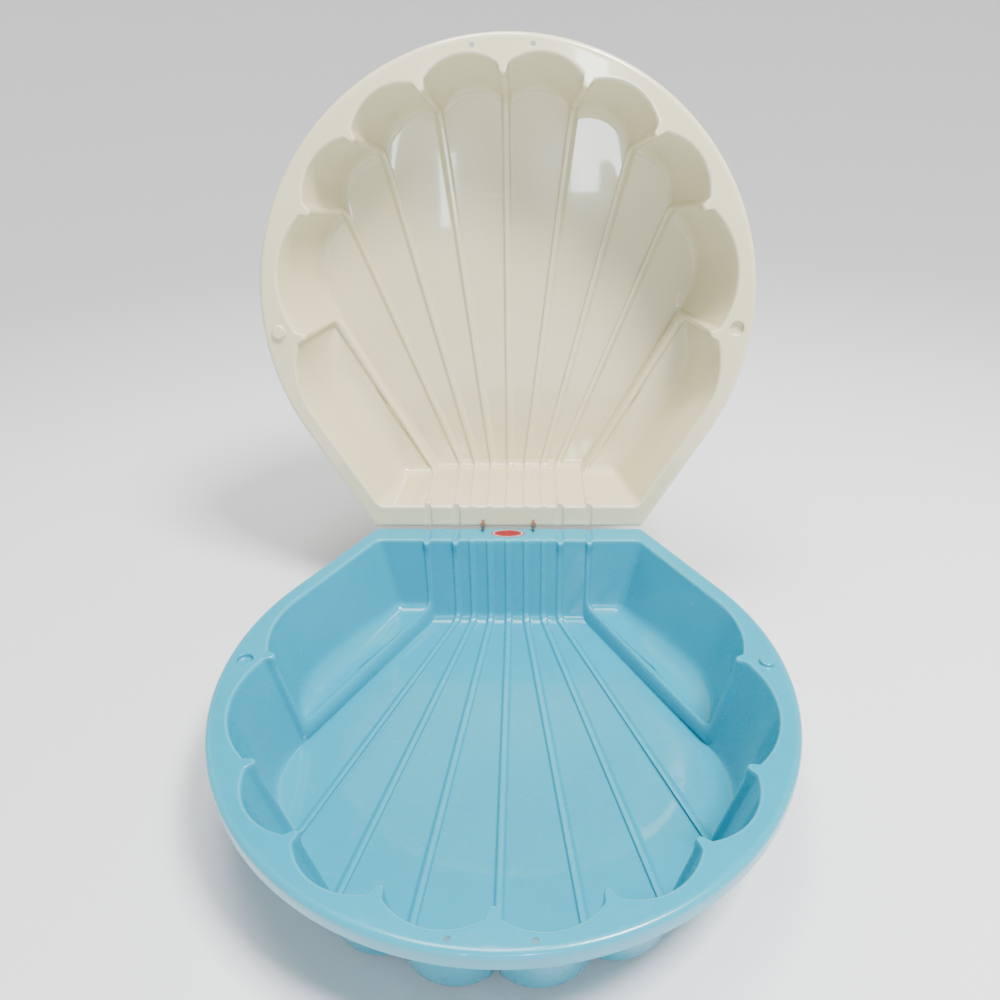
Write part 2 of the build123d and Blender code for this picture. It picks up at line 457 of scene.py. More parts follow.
@dataclass(frozen=True)
class TwistedTwine(Finish):
    """Laid twine with lighter hairs: brown above the hinge line; below it the twine is painted a dark
    teal, as shade tinted by light off the aqua base.
    """

    colour: tuple = (0.15, 0.045, 0.02, 1.0)
    pale: tuple = (0.34, 0.17, 0.09, 1.0)
    # painted shade: the dark teal of the twine below the hinge line, tinted by light off the aqua base
    lower: tuple = (0.012, 0.05, 0.05, 1.0)
    painted_shade_hairs: tuple = (0.05, 0.14, 0.13, 1.0)

    def build(self) -> bpy.types.Material:
        """Fibres follow the UV map, whose u is the angle up and forward from behind the hinge line."""
        graph = Graph(self.name)
        place = graph.node("ShaderNodeUVMap", {"uv_map": "strand"}, {})
        run = graph.node("ShaderNodeMapping", {}, {"Vector": place, "Scale": (60.0, 3.0, 1.0)})
        fibre = graph.noise(run, 1.0, 4.0)
        turned = graph.node("ShaderNodeSeparateXYZ", {}, {0: place}, "X")
        over = turned.step(-0.15, 0.15) * (1.0 - turned.step(2.2, 2.45))
        hairs = fibre.step(0.4, 0.7)
        brown = graph.mix(hairs, self.colour, self.pale)
        # below the hinge line the twine is painted shade, dark and tinted by the aqua base
        painted_shade = graph.mix(hairs, self.lower, self.painted_shade_hairs)
        bump = graph.node("ShaderNodeBump", {}, {"Height": fibre, "Strength": 0.6, "Distance": 0.0004})
        colour = graph.mix(over, painted_shade, brown)
        rough = 0.75 + fibre * 0.2
        inputs = {"Base Color": colour, "Roughness": rough, "Normal": bump, "Sheen Weight": 0.3}
        return graph.finish(inputs)


@dataclass(frozen=True)
class StudioFloor(Finish):
    """Plain pale studio floor."""

    colour: tuple = (0.9, 0.9, 0.9, 1.0)
    cool: tuple = (0.86, 0.86, 0.87, 1.0)
    black: tuple = (0.0, 0.0, 0.0, 1.0)
    white: tuple = (1.0, 1.0, 1.0, 1.0)
    glow: float = 0.35
    glow_from: float = 0.5
    glow_full: float = 1.7

    def build(self) -> bpy.types.Material:
        """Matt white with the faintest cloud; away from the object it is lit a little from within."""
        graph = Graph(self.name)
        place = graph.place()
        cloud = graph.noise(place, 1.5, 2.0)
        colour = graph.mix(cloud * 0.1, self.colour, self.cool)
        away = graph.node("ShaderNodeVectorMath", {"operation": "LENGTH"}, {0: place}, "Value")
        share = away.step(self.glow_from, self.glow_full)
        glow = graph.mix(share, self.black, self.white)
        inputs = {"Base Color": colour, "Roughness": 0.9}
        return graph.finish({**inputs, "Emission Color": glow, "Emission Strength": self.glow})


AQUA = MouldedPlastic(
    "aqua_polyethylene",
    "base_plastic",
    colour=(0.004, 0.32, 0.455, 1.0),
    deep=(0.002, 0.26, 0.40, 1.0),
    worn=(0.10, 0.56, 0.67, 1.0),
    dust=(0.35, 0.48, 0.47, 1.0),
    gloss=0.22,
    coat=0.4,
)
IVORY = MouldedPlastic(
    "ivory_polyethylene",
    "cover_plastic",
    colour=(0.71, 0.64, 0.405, 1.0),
    deep=(0.65, 0.575, 0.345, 1.0),
    worn=(0.82, 0.79, 0.66, 1.0),
    dust=(0.45, 0.41, 0.33, 1.0),
    gloss=0.16,
    coat=0.8,
)
LABEL = PrintedVinyl("red_label", "badge_vinyl")
TWINE = TwistedTwine("brown_twine", "tie_cord")
FLOOR = StudioFloor("studio_floor", "")


# ---------------------------------------------------------------- the two mouldings


class Way(Enum):
    """How a moulding stands."""

    OPEN_SIDE_UP = "base"
    STANDING_OPEN = "cover"


@dataclass(frozen=True)
class Hinge:
    """The line that the cover turns about, and how far it stands open."""

    back: float
    height: float
    open_angle: float

    def stand_open(self, points: Array) -> Array:
        """Points of a moulding, turned over onto the base and opened about the hinge line.

        Args:
            points: places on a moulding that lies open side up.

        Returns:
            The same places on the standing cover.
        """
        turn = math.radians(-self.open_angle)
        x = -points[..., 0]
        y = points[..., 1] - self.back
        z = self.height - points[..., 2]
        new_y = y * math.cos(turn) - z * math.sin(turn) + self.back
        new_z = y * math.sin(turn) + z * math.cos(turn) + self.height
        return np.stack([x, new_y, new_z], axis=-1)


@dataclass(frozen=True)
class Fitting:
    """A round feature on the flange: where it is, and the rings that shape it from outside in."""

    x: float
    y: float
    rings: Array
    margin: float = 1.2

    def clear(self) -> float:
        """Radius that the grid's own cells leave free: the outer ring's and the margin."""
        return float(self.rings[0, 0]) + self.margin


# rings in a quarter round, and the ring on a disc's flat top as a share of its radius
ARC_RINGS = 6
CROWN_SHARE = 0.45


def hole_rings(radius: float) -> Array:
    """Plain hole: one ring at the flange's face."""
    return np.array([[radius, 0.0]])


def peg_rings(radius: float, height: float, foot: float = 2.0, brow: float = 2.6) -> Array:
    """Raised disc: a quarter round at its foot, an upright wall, a quarter round at its top.

    Args:
        radius: of the wall.
        height: above the flange.
        foot: radius of the rounding at the foot.
        brow: radius of the rounding at the top.

    Returns:
        Radius and height of each ring, from outside in.
    """
    angle = np.radians(np.linspace(0.0, 90.0, ARC_RINGS))
    low = np.stack([radius + foot - foot * np.sin(angle), foot - foot * np.cos(angle)], axis=-1)
    inner, under = radius - brow, height - brow
    high = np.stack([inner + brow * np.cos(angle), under + brow * np.sin(angle)], axis=-1)
    top = np.array([[radius * CROWN_SHARE, height], [0.0, height]])
    return np.concatenate([low, high, top])


def socket_rings(radius: float, depth: float) -> Array:
    """Blind recess: the raised disc's rings turned downwards, wider at the mouth."""
    rings = peg_rings(radius, depth, foot=1.5, brow=2.5)
    return rings * (1.0, -1.0)


@dataclass
class ShellMoulding:
    """A thin scallop-shell moulding: a rolled rim, a flange, a fluted wall, ribs and side benches.

    The moulding is one sheet of columns. Each column starts at the lower edge of the rim
    by the hinge, crosses the rear flange, runs down the rear wall, over the floor, up the
    scalloped wall and out over the flange to the rim again. A station from 0 to 4 counts
    the ribs from the middle to the side, and from 4 to 5 goes round the side bench to the
    basin's rear corner, where the front and rear ends of the last column meet.
    """

    way: Way
    finish: Finish
    hinge: Hinge
    rim_r: float
    hinge_back: float
    height: float
    wall: float = 3.0
    flank_turn: float = 30.0
    rim_depth: float = 25.0
    hinge_skirt: float = 9.43
    least_skirt: float = 1.0
    rim_roll: float = 8.0
    hinge_corner_r: float = 10.0
    rear_flange: float = 46.0
    flank_flange: float = 31.0
    flank_run: float = 220.0
    basin_corner_r: float = 20.0
    cusp_angles: tuple = (0.0, 20.0, 40.5, 62.0, 95.5)
    cusp_flanges: tuple = (50.0, 50.0, 52.0, 53.0, 63.0)
    lobe_flanges: tuple = (25.0, 26.0, 28.0, 30.0)
    rib_ends: tuple = (0.0, 0.14, 0.275, 0.40, 0.62)
    draft: float = 38.0
    rear_draft: float = 12.0
    edge_r: float = 4.0
    foot_run: float = 18.0
    bench_foot_run: float = 34.0
    bench_height: float = 28.0
    rib_height: float = 5.5
    nib_round: float = 3.0
    cusp_slope: float = 0.85
    front_spread: float = 1.35
    rear_rib_height: float = 2.2
    channel_depth: float = 3.0
    side_station: float = 4.4
    corner_station: float = 4.85
    near: tuple = (0.0, 1.6, 3.0, 4.2, 5.2, 6.2, 7.2, 8.2, 9.4, 11.0)
    gap_columns: int = 18
    side_columns: int = 14
    flank_columns: int = 16
    corner_columns: int = 10
    wall_rows: int = 10
    floor_rows: int = 10
    nub_reach: tuple = (6.0, 26.0)
    nub_stand: float = 3.5
    rear_nub_stand: float = 5.0
    # how far from a rib's middle its shapes start to fade and have gone
    rib_side: tuple = (3.4, 9.2)
    rear_rib_side: tuple = (3.8, 7.4)
    nib_side: tuple = (3.0, 9.2)
    blunt_side: tuple = (7.0, 13.0)
    nub_side: tuple = (2.5, 8.4)
    channel_side: tuple = (4.2, 8.4)
    worn_side: tuple = (1.0, 5.0)
    # the same for the step up to the bench, past the last rib
    bench_rise: tuple = (-8.6, 1.0)
    bench_fall: tuple = (5.0, 12.0)
    bench_turn: tuple = (6.0, 45.0)
    bench_soft: tuple = (20.0, 70.0)
    bench_soft_end: float = 4.6
    # how far before the hinge edge the skirt starts to shorten and is short
    skirt_fade: tuple = (25.0, 5.0)
    skirt_rows: int = 2
    roll_rows: int = 6
    face_rows: int = 8
    lip_rows: int = 5
    foot_rows: int = 8
    conic_weight: float = 0.75
    wall_crowding: float = 1.5
    peg_angle: float = 93.5
    peg_flange: float = 29.0
    peg_r: float = 12.0
    peg_height: float = 7.0
    peg_gap: float = 1.0
    front_hole_x: float = 48.0
    front_hole_flange: float = 15.3
    front_hole_r: float = 4.0
    tie_x: float = 50.0
    tie_back: float = 13.88
    tie_hole_r: float = 3.3
    ring_blend: tuple = (1.0, 0.62, 0.3)
    face_reach: float = 0.5
    roll_wear: float = 0.5
    lip_wear: float = 1.0
    wall_rib_wear: float = 0.5
    floor_rib_wear: float = 0.7
    crease: float = 35.0

    def __post_init__(self) -> None:
        """Work out the sizes that follow from the others."""
        self.sin = math.sin(math.radians(self.flank_turn))
        self.cos = math.cos(math.radians(self.flank_turn))
        self.out = np.array([self.cos, self.sin])
        self.along = np.array([self.sin, -self.cos])
        self.drop = self.height - self.wall
        edge_back = self.hinge_back - self.rear_flange
        half = (self.rim_r - self.flank_flange - edge_back * self.sin) / self.cos
        self.rib_x = np.array(self.rib_ends) * half

    # -- outlines of the right half

    def corner(self, inset: float, rear_inset: float) -> tuple[Array, Array, Array, Array]:
        """Rear corner of the basin's outline, moved in by the insets.

        Args:
            inset: how far the flank is moved in.
            rear_inset: how far the rear wall is moved in.

        Returns:
            The sharp corner, the rounding's ends on the rear wall and the flank, and its centre.
        """
        back = self.hinge_back - self.rear_flange - rear_inset
        reach = self.rim_r - self.flank_flange - inset
        sharp = np.array([(reach - back * self.sin) / self.cos, back])
        cut = self.basin_corner_r * math.tan(math.radians((90.0 - self.flank_turn) / 2.0))
        on_rear = sharp - (cut, 0.0)
        return sharp, on_rear, sharp + cut * self.along, on_rear - (0.0, self.basin_corner_r)

    def polar(self, angles: Array, radii: Array) -> Array:
        """Points at angles in degrees from straight ahead."""
        turn = np.radians(angles)
        return np.stack([radii * np.sin(turn), -radii * np.cos(turn)], axis=-1)

    def stretch(self, station: Array, start: float, end: float) -> tuple[Array, Array]:
        """Which stations lie past start up to end, and their shares of the way."""
        here = (station > start) & (station <= end)
        return here, (station[here] - start) / (end - start)

    def corner_share(self, station: Array) -> Array:
        """Share of the way from the corner's station to the last one."""
        return (station - self.corner_station) / (5.0 - self.corner_station)

    def corner_turn(self, share: Array, start: float) -> Array:
        """Direction round the corner's arc, from start degrees at share 0 to its middle at share 1."""
        middle = (90.0 + self.flank_turn) / 2.0
        angle = np.radians(start + (middle - start) * np.clip(share, 0.0, 1.0))
        return np.stack([np.cos(angle), np.sin(angle)], axis=-1)

    def front_edge(self, station: Array, inset: float, rear_inset: float) -> tuple[Array, Array]:
        """Scalloped edge of the basin: an arc for each lobe, the side's arc, the flank and the corner.

        Args:
            station: stations from 0 to 5.
            inset: how far the edge is moved in.
            rear_inset: how far the rear wall is moved in.

        Returns:
            The points, and the directions that point out of the basin.
        """
        cusps = self.polar(self.cusp_angles, self.rim_r - np.array(self.cusp_flanges) - inset)
        middles = (np.array(self.cusp_angles[1:]) + self.cusp_angles[:-1]) / 2.0
        lobes = self.polar(middles, self.rim_r - np.array(self.lobe_flanges) - inset)
        sharp, _, on_flank, centre = self.corner(inset, rear_inset)
        flank_end = sharp + self.flank_run * self.along
        points = np.zeros((len(station), 2))
        outward = np.zeros((len(station), 2))
        for index, lobe in enumerate(lobes):
            here = (station >= index) & (station <= index + 1)
            arc = arc_through(cusps[index], lobe, cusps[index + 1], station[here] - index)
            points[here], outward[here] = arc
        here, share = self.stretch(station, 4.0, self.side_station)
        chord = cusps[-1] - flank_end
        radius = chord @ chord / (-2.0 * chord @ self.out)
        hub = flank_end - radius * self.out
        swing = unit(unit(cusps[-1] - hub) + self.out)
        points[here], outward[here] = arc_through(cusps[-1], hub + radius * swing, flank_end, share)
        here, share = self.stretch(station, self.side_station, self.corner_station)
        points[here] = flank_end + share[:, None] * (on_flank - flank_end)
        outward[here] = self.out
        here = station > self.corner_station
        outward[here] = self.corner_turn(self.corner_share(station[here]), self.flank_turn)
        points[here] = centre + self.basin_corner_r * outward[here]
        return points, outward

    def rear_edge(self, station: Array, inset: float, rear_inset: float) -> tuple[Array, Array]:
        """Rear edge of the basin: a straight line along the ribs' ends, then the corner's arc.

        Args:
            station: stations from 0 to 5.
            inset: how far the flank is moved in.
            rear_inset: how far the rear wall is moved in.

        Returns:
            The points, and the directions that point out of the basin.
        """
        _, on_rear, _, centre = self.corner(inset, rear_inset)
        knots = [*range(5), self.corner_station]
        x = np.interp(station, knots, [*self.rib_x, on_rear[0]])
        points = np.stack([x, np.full_like(x, on_rear[1])], axis=-1)
        outward = self.corner_turn(self.corner_share(station), 90.0)
        here = station > self.corner_station
        points[here] = centre + self.basin_corner_r * outward[here]
        return points, outward

    def rim_corner(self, station: Array, start: Array, turn: float) -> tuple[Array, Array]:
        """Rim beside the basin's corner: half the stations run straight, half round the rim's corner.

        Args:
            station: stations past the corner's.
            start: where the straight run starts.
            turn: direction out of the rim there, in degrees.

        Returns:
            The points, and the directions out of the rim.
        """
        radius = self.hinge_corner_r
        sharp_x = (self.rim_r - self.hinge_back * self.sin) / self.cos
        cut = radius * math.tan(math.radians((90.0 - self.flank_turn) / 2.0))
        hub = np.array([sharp_x - cut, self.hinge_back - radius])
        share = self.corner_share(station)
        outward = self.corner_turn(2.0 * share - 1.0, turn)
        first = np.array([math.cos(math.radians(turn)), math.sin(math.radians(turn))])
        touch = hub + radius * first
        run = start + np.clip(2.0 * share, 0.0, 1.0)[:, None] * (touch - start)
        return np.where(share[:, None] <= 0.5, run, hub + radius * outward), outward

    def front_rim(self, station: Array, edge: Array) -> tuple[Array, Array]:
        """Rim opposite each point of the scalloped edge: the nearest point of the round or the flank.

        Args:
            station: stations from 0 to 5.
            edge: points of the scalloped edge.

        Returns:
            The points, and the directions out of the rim.
        """
        on_flank = (edge @ -self.along > 0.0)[:, None]
        to_flank = edge + (self.rim_r - edge @ self.out)[:, None] * self.out
        points = np.where(on_flank, to_flank, self.rim_r * unit(edge))
        outward = np.where(on_flank, self.out, unit(edge))
        here = station > self.corner_station
        start = self.corner(0.0, 0.0)[2] + self.flank_flange * self.out
        points[here], outward[here] = self.rim_corner(station[here], start, self.flank_turn)
        return points, outward

    def rear_rim(self, station: Array, edge: Array) -> tuple[Array, Array]:
        """Rim behind each point of the rear edge, along the hinge.

        Args:
            station: stations from 0 to 5.
            edge: points of the rear edge.

        Returns:
            The points, and the directions out of the rim.
        """
        points = np.stack([edge[:, 0], np.full(len(edge), self.hinge_back)], axis=-1)
        outward = np.tile([0.0, 1.0], (len(edge), 1))
        here = station > self.corner_station
        start = np.array([self.corner(0.0, 0.0)[1][0], self.hinge_back])
        points[here], outward[here] = self.rim_corner(station[here], start, 90.0)
        return points, outward

    # -- columns

    def columns(self) -> tuple[Array, Array, Array, Array]:
        """Where the right half's columns lie, closest together on and beside the ribs.

        Returns:
            Each column's station at the front and at the rear, its nearest rib, and how far
            it is from that rib.
        """
        near = np.array(self.near)
        ends = np.arange(5.0)
        fine = np.linspace(0.0, 4.0, 4001)
        steps = np.linalg.norm(np.diff(self.front_edge(fine, 0.0, 0.0)[0], axis=0), axis=1)
        lengths = steps.reshape(4, -1).sum(axis=1)
        front, rear, rib, off = [], [], [], []
        for gap, (length, width) in enumerate(zip(lengths, np.diff(self.rib_x))):
            middle = shares(self.gap_columns + 1)[:-1]
            by_end = []
            for step in (near * self.front_spread / length, near / width):
                between = step[-1] + (1.0 - 2.0 * step[-1]) * middle
                by_end.append(np.concatenate([step, between, 1.0 - step[:0:-1]]))
            away = by_end[0] * length / self.front_spread
            past = by_end[0] > 0.5
            front.append(ends[gap] + by_end[0])
            rear.append(ends[gap] + by_end[1])
            rib.append(np.where(past, gap + 1, gap))
            off.append(np.where(past, away - length / self.front_spread, away))
        side_length = self.side_length()
        side_width = self.corner(0.0, 0.0)[1][0] - self.rib_x[-1]
        per_mm = (self.side_station - 4.0) / side_length
        first = 4.0 + near * self.front_spread * per_mm
        side = first[-1] + (self.side_station - first[-1]) * shares(self.side_columns)
        to_corner = self.corner_station - self.side_station
        flank = self.side_station + to_corner * shares(self.flank_columns)
        turn = self.corner_station + (5.0 - self.corner_station) * shares(self.corner_columns)
        front.append(np.concatenate([first, side, flank, turn]))
        back = 4.0 + near / side_width * (self.corner_station - 4.0)
        columns = shares(self.side_columns + self.flank_columns)
        rest = back[-1] + (self.corner_station - back[-1]) * columns
        rear.append(np.concatenate([back, rest, turn]))
        rib.append(np.full(len(rear[-1]), 4))
        off.append((front[-1] - 4.0) / per_mm / self.front_spread)
        return tuple(np.concatenate(part) for part in (front, rear, rib, off))

    def side_length(self) -> float:
        """Length of the side's arc, from the last cusp to the flank."""
        station = np.linspace(4.0001, self.side_station, 200)  # from just past the cusp
        steps = np.diff(self.front_edge(station, 0.0, 0.0)[0], axis=0)
        return float(np.linalg.norm(steps, axis=1).sum())

    def level(self, rib: Array, off: Array) -> Array:
        """Height of the floor: flat, with round ribs, and a step up to the bench at the last rib.

        Args:
            rib: each column's nearest rib.
            off: distance from it.

        Returns:
            Height above the ground.
        """
        crest = self.rib_height * (1.0 - smooth(*self.rib_side, np.abs(off)))
        rise = (self.bench_height + self.rib_height) * smooth(*self.bench_rise, off)
        fall = self.rib_height * smooth(*self.bench_fall, off)
        return self.wall + np.where(rib == 4, rise - fall, crest)

    def nib(self, off: Array) -> Array:
        """How far a rib stands out of the scalloped wall; it also rounds the sharp cusp off."""
        away = np.abs(off)
        stand = self.rib_height + self.cusp_slope * self.nib_round
        blunt = np.sqrt(away**2 + self.nib_round**2) - away
        cut = self.cusp_slope * blunt * (1.0 - smooth(*self.blunt_side, away))
        return stand * (1.0 - smooth(*self.nib_side, away)) - cut

    def wall_line(
        self,
        top: Array,
        foot: Array,
        stand: Array,
        face: Array,
        level: Array,
    ) -> dict[str, Array]:
        """Lip and foot of the wall of each column.

        Args:
            top: edge of the basin at the flange's height.
            foot: edge of the basin at the floor's height.
            stand: how far the column stands out of the wall, as a vector.
            face: height of the flange's face.
            level: height of the floor.

        Returns:
            The wall's lip and foot, and the directions up it.
        """
        slope = (foot - top) / self.drop
        lip = top + slope * (self.height - face)[:, None] + stand
        low = top + slope * (self.height - level)[:, None] + stand
        lip = np.column_stack([lip, face])
        low = np.column_stack([low, level])
        return {"lip": lip, "low": low, "up": unit(lip - low)}

    def rows(
        self,
        wall: dict[str, Array],
        rim: tuple[Array, Array],
        inward: Array,
        run: Array,
        nub: Array,
    ) -> Array:
        """Points of one half of each column, from the skirt's lower edge to the floor.

        Args:
            wall: the wall's lip, foot and direction.
            rim: the rim's points and the directions out of it.
            inward: level directions into the basin at the foot.
            run: how far the rounding of the foot reaches.
            nub: how much further the lip stands into the basin than the wall under it.

        Returns:
            Points by column and row.
        """
        edge, outward = rim
        face = wall["lip"][:, 2]
        short = smooth(*(self.hinge_back - np.array(self.skirt_fade)), edge[:, 1])
        skirt = self.rim_depth - (self.rim_depth - self.hinge_skirt) * short
        bottom = np.column_stack([edge, self.height - skirt])
        roll_r = np.minimum(self.rim_roll, face - bottom[:, 2] - self.least_skirt)
        shoulder = np.column_stack([edge, face - roll_r])
        angle = np.radians(90.0 * shares(self.roll_rows))
        tuck = (roll_r[:, None] * (1.0 - np.cos(angle)))[..., None] * outward[:, None, :]
        roll_xy = edge[:, None, :] - tuck
        roll_z = face[:, None] - roll_r[:, None] * (1.0 - np.sin(angle))
        roll = np.concatenate([roll_xy, roll_z[..., None]], axis=-1)
        start = roll[:, -1]
        brow = wall["lip"] + self.edge_r * unit(start - wall["lip"])
        under = wall["lip"] - self.edge_r * wall["up"]
        above = wall["low"] + run[:, None] * wall["up"]
        on_floor = wall["low"] + run[:, None] * np.column_stack([inward, np.zeros(len(inward))])
        parts = [
            bottom[:, None, :],
            straight(bottom, shoulder, shares(self.skirt_rows)),
            roll,
            straight(start, brow, shares(self.face_rows)),
            rounded(brow, wall["lip"], under, self.conic_weight, shares(self.lip_rows)),
            straight(under, above, shares(self.wall_rows) ** self.wall_crowding),
            rounded(above, wall["low"], on_floor, self.conic_weight, shares(self.foot_rows)),
        ]
        points = np.concatenate(parts, axis=1)
        rim_rows = 1 + self.skirt_rows + self.roll_rows
        past = np.ones(self.lip_rows + self.wall_rows + self.foot_rows)
        share = np.concatenate([np.zeros(rim_rows), shares(self.face_rows), past])
        fade = 1.0 - smooth(*self.nub_reach, face[:, None] - points[..., 2])
        points[..., :2] += nub[:, None, :] * (share * fade)[..., None]
        return points

    def right_half(self) -> tuple[Array, Array]:
        """Points of the right half, and how worn each is.

        Returns:
            Points by column and row, and a number from 0 to 1 for each.
        """
        front, rear, rib, off = self.columns()
        level = self.level(rib, off)
        cusp_in = -self.polar(np.array(self.cusp_angles), np.ones(5))[rib]
        rear_rib = self.rear_rib_height * (1.0 - smooth(*self.rear_rib_side, np.abs(off)))
        tip = 1.0 - smooth(*self.nub_side, np.abs(off))
        channel = self.channel_depth * (rib >= 3) * (1.0 - smooth(*self.channel_side, np.abs(off)))
        nub_f = (self.nub_stand * tip)[:, None] * cusp_in
        nub_r = (self.rear_nub_stand * tip * (rib >= 3))[:, None] * (0.0, -1.0)
        face = np.full(len(rib), self.height)
        top_f, out_f = self.front_edge(front, 0.0, 0.0)
        foot_f, _ = self.front_edge(front, self.draft, self.rear_draft)
        top_r, out_r = self.rear_edge(rear, 0.0, 0.0)
        foot_r, _ = self.rear_edge(rear, self.draft, self.rear_draft)
        wall_f = self.wall_line(top_f, foot_f, self.nib(off)[:, None] * cusp_in, face, level)
        wall_r = self.wall_line(top_r, foot_r, rear_rib[:, None] * (0.0, -1.0), face - channel, level)
        across = (wall_r["low"] - wall_f["low"])[:, :2]
        across = unit(across + (0.0, 1e-9))  # the last column has no length of its own
        bench = ((rib == 4) * smooth(*self.bench_turn, off))[:, None]
        in_f = unit(across * (1.0 - bench) - out_f * bench)
        in_r = unit(-across * (1.0 - bench) - out_r * bench)
        soft = (rib == 4) * smooth(*self.bench_soft, off)
        soft = soft * (1.0 - smooth(self.bench_soft_end, self.corner_station, front))
        run_f = self.foot_run + (self.bench_foot_run - self.foot_run) * soft
        run_r = np.full(len(rib), self.foot_run)
        front_rows = self.rows(wall_f, self.front_rim(front, top_f), in_f, run_f, nub_f)
        rear_rows = self.rows(wall_r, self.rear_rim(rear, top_r), in_r, run_r, nub_r)
        floor = straight(rear_rows[:, -1], front_rows[:, -1], shares(self.floor_rows)[:-1])
        grid = np.concatenate([rear_rows, floor, front_rows[:, ::-1]], axis=1)
        crest = 1.0 - smooth(*self.worn_side, np.abs(off))
        roll_row, face_row, lip_row, wall_row = np.cumsum(
            [1 + self.skirt_rows, self.roll_rows, self.face_rows, self.lip_rows]
        )
        ends = np.zeros(rear_rows.shape[:2])
        ends[:, roll_row:face_row] = self.roll_wear
        ends[:, lip_row:wall_row] = self.lip_wear
        ends[:, wall_row:] = self.wall_rib_wear * crest[:, None]
        middle = np.tile(self.floor_rib_wear * crest[:, None], (1, floor.shape[1]))
        return grid, np.concatenate([ends, middle, ends[:, ::-1]], axis=1)

    # -- peg, socket and holes

    def fittings(self) -> list[Fitting]:
        """Peg, socket, the two holes in the front flange and the two for the ties."""
        peg_x, peg_y = self.polar(np.array(self.peg_angle), np.array(self.rim_r - self.peg_flange))
        hole_y = -math.sqrt((self.rim_r - self.front_hole_flange) ** 2 - self.front_hole_x**2)
        tie_y = self.hinge_back - self.tie_back
        mouth, depth = self.peg_r + self.peg_gap, self.peg_height + self.peg_gap
        made = [
            Fitting(peg_x, peg_y, peg_rings(self.peg_r, self.peg_height)),
            Fitting(-peg_x, peg_y, socket_rings(mouth, depth)),
        ]
        for side in (1, -1):
            made.append(Fitting(side * self.front_hole_x, hole_y, hole_rings(self.front_hole_r)))
            made.append(Fitting(side * self.tie_x, tie_y, hole_rings(self.tie_hole_r)))
        return made

    def fit(self, grid: Array, kept: Array, fitting: Fitting) -> Array:
        """Clear the cells round a fitting and fill the gap with rings that close in on it.

        Args:
            grid: the whole moulding's points.
            kept: which cells are faces; those round the fitting are cleared.
            fitting: the round feature.

        Returns:
            The rings' points, by place round the ring and by ring.
        """
        away = np.hypot(grid[..., 0] - fitting.x, grid[..., 1] - fitting.y)
        near = (away < fitting.clear()) & (grid[..., 2] > self.height - self.face_reach)
        columns = np.flatnonzero(near.any(axis=1))
        rows = np.flatnonzero(near.any(axis=0))
        left, right = columns[0] - 1, columns[-1] + 1
        low, high = rows[0] - 1, rows[-1] + 1
        kept[left:right, low:high] = False
        sides = [grid[left, low:high], grid[left:right, high]]
        sides += [grid[right, high:low:-1], grid[right:left:-1, low]]
        ring = np.concatenate(sides)
        reach = ring[:, :2] - (fitting.x, fitting.y)
        radius = np.linalg.norm(reach, axis=1)
        blend = np.array(self.ring_blend)
        outer = fitting.rings[0, 0] + (radius - fitting.rings[0, 0])[:, None] * blend
        own_radii, own_heights = np.tile(fitting.rings, (len(ring), 1, 1)).transpose(2, 0, 1)
        radii = np.concatenate([outer, own_radii], axis=1)
        flat = np.tile(ring[:, 2:], (1, len(blend)))
        heights = np.concatenate([flat, self.height + own_heights], axis=1)
        rays = (reach / radius[:, None])[:, None, :] * radii[..., None]
        return np.concatenate([rays + (fitting.x, fitting.y), heights[..., None]], axis=-1)

    def build(self) -> bpy.types.Object:
        """Make the moulding: sheet, fittings, thickness and finish.

        Returns:
            The new object.
        """
        right, worn = self.right_half()
        grid = np.concatenate([right[:0:-1] * (-1.0, 1.0, 1.0), right])
        wear = np.concatenate([worn[:0:-1], worn])
        kept = np.ones((grid.shape[0] - 1, grid.shape[1] - 1), bool)
        rings = [self.fit(grid, kept, fitting) for fitting in self.fittings()]
        surface = Surface()
        place = self.hinge.stand_open if self.way is Way.STANDING_OPEN else np.asarray
        up = Vector(place(np.array([0.0, 0.0, 1.0])) - place(np.zeros(3)))
        surface.add(place(grid), kept, value=wear)
        for ring in rings:
            surface.add(place(ring), wrap=True)
        name = f"{self.way.value}_moulding"
        mesh = surface.mesh(name, up)
        piece = make_piece(name, mesh, self.finish, self.way.value, self.crease)
        self.thicken(piece)
        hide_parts(f"{self.way.value}_shell")
        return piece

    def thicken(self, piece: bpy.types.Object) -> None:
        """Give the sheet its thickness, on the side away from the sand."""
        solid = piece.modifiers.new("Wall", "SOLIDIFY")
        solid.thickness = self.wall * MM
        solid.offset = -1.0
        done = piece.evaluated_get(bpy.context.evaluated_depsgraph_get())
        thick = bpy.data.meshes.new_from_object(done)
        piece.modifiers.clear()
        piece.data = thick
        soften(thick, self.crease)


# ---------------------------------------------------------------- ties and label


